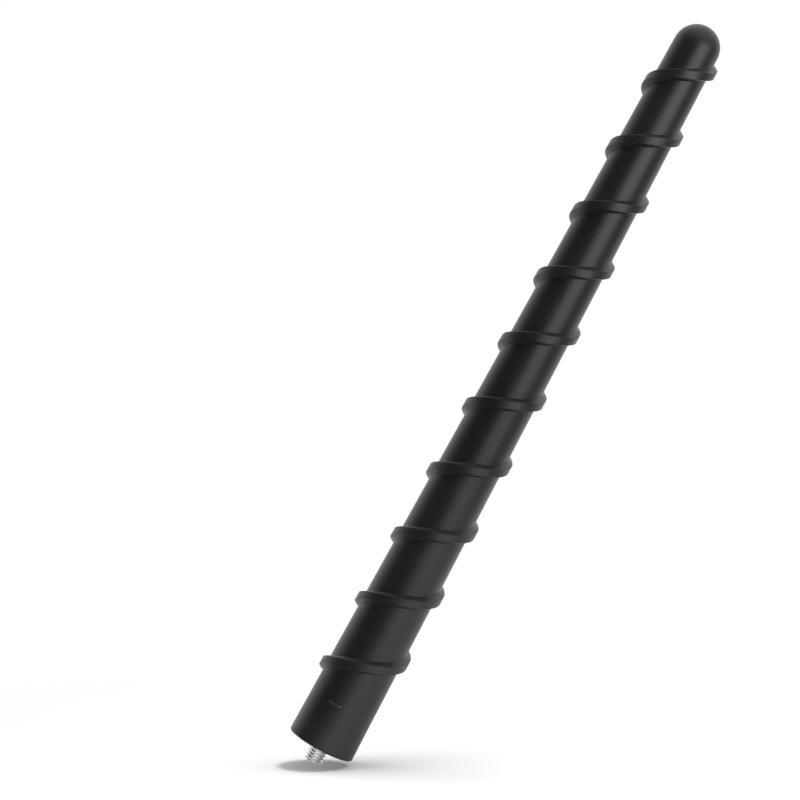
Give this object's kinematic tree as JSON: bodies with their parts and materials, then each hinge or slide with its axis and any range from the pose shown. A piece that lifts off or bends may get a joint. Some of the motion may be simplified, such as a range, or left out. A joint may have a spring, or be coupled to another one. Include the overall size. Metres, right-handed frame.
{
  "type": "car mast aerial",
  "caption": "Short flexible rubber mast for a car aerial, tapered, with a spiral rib, a domed tip and a threaded stud at its foot that screws into the aerial's base.",
  "frame": {"origin": "centre of the foot's seat face, on the mast's axis, where the foot meets the aerial's base", "axes": "+Z along the mast from its foot to its tip, -Z along the threaded stud, and -Y towards the side with the small moulded tick"},
  "size_m": [0.0195, 0.0194, 0.2045],
  "materials": {
    "sheath_rubber": "satin",
    "stud_steel": "bright plated",
    "ferrule_brass": "turned",
    "rod_fibre": "glass fibre in resin",
    "wire_enamel": "enamelled copper",
    "solder": "bright",
    "sleeve_plastic": "matt"
  },
  "bodies": {
    "root": {"sheath": "sheath_rubber", "stud": "stud_steel", "ferrule": "ferrule_brass", "core_rod": "rod_fibre", "winding": "wire_enamel", "solder_joint": "solder", "shrink_sleeve": "sleeve_plastic"}
  },
  "joints": []
}
